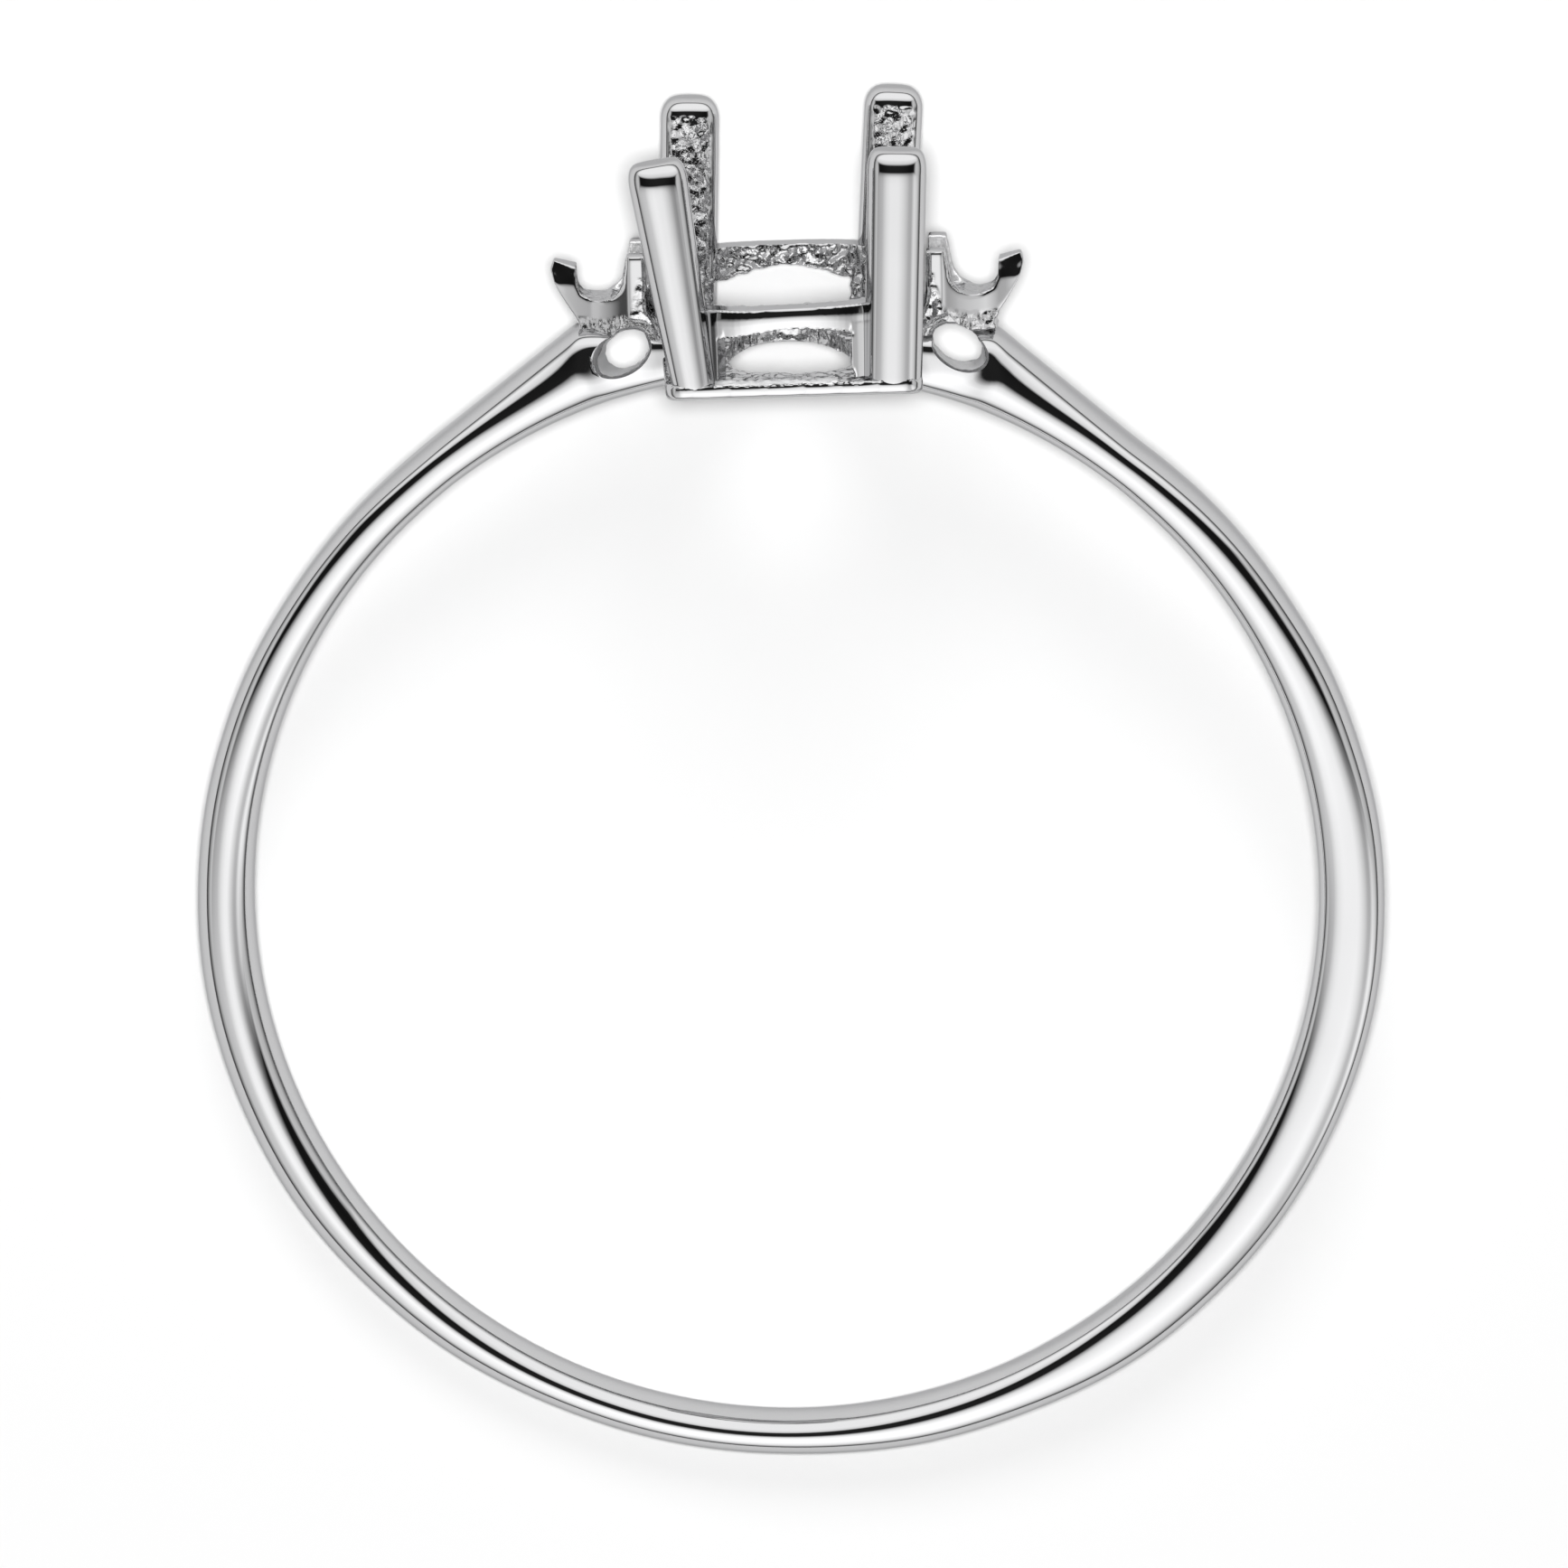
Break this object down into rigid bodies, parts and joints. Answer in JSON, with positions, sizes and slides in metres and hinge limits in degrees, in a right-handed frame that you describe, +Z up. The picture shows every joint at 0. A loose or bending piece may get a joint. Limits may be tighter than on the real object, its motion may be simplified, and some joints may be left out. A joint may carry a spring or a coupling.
{
  "type": "semi mount ring setting",
  "caption": "Plain tapered finger ring in polished white metal with an empty prong basket for an oval centre stone and a small open setting on each shoulder.",
  "frame": {"origin": "middle of the footprint on the table, with the ring lying on its side as it rests", "axes": "+Y from the bottom of the band towards the head, +Z up from the table, about along the finger hole"},
  "size_m": [0.0194, 0.0224, 0.007],
  "materials": {
    "white_metal": "polished white gold, as cast inside the basket"
  },
  "bodies": {
    "root": {"ring_setting": "white_metal"}
  },
  "joints": []
}
